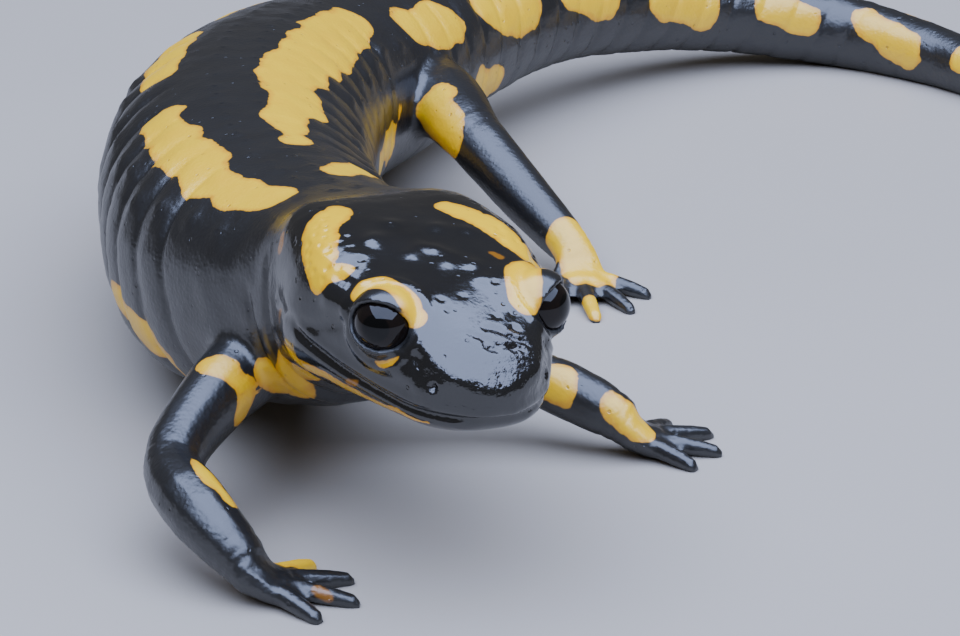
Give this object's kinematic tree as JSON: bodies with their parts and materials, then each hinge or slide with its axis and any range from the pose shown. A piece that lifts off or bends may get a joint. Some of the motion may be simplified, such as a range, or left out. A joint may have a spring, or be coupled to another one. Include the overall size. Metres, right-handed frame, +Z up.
{
  "type": "fire salamander",
  "caption": "Life-size fire salamander, a black and yellow amphibian, standing with its head raised and its tail swept round to its left: a still display model.",
  "frame": {"origin": "middle of the bounding box at the floor the feet and tail rest on", "axes": "+Z up from the floor; the trunk lies along Y with the head towards -Y, the animal's left side towards +X"},
  "size_m": [0.0856, 0.1258, 0.0231],
  "materials": {
    "skin": "wet glossy black skin with bright yellow patches, as cast and varnished for display",
    "eye": "dark, very glossy eye"
  },
  "bodies": {
    "root": {"chest": "skin", "eye_left": "eye", "eye_right": "eye", "foot_left": "skin", "foot_right": "skin", "forearm_left": "skin", "forearm_right": "skin", "hand_left": "skin", "hand_right": "skin", "head": "skin", "hips": "skin", "lower_jaw": "skin", "neck": "skin", "shank_left": "skin", "shank_right": "skin", "tail_base": "skin", "tail_middle": "skin", "tail_tip": "skin", "thigh_left": "skin", "thigh_right": "skin", "trunk": "skin", "upper_arm_left": "skin", "upper_arm_right": "skin"}
  },
  "joints": []
}
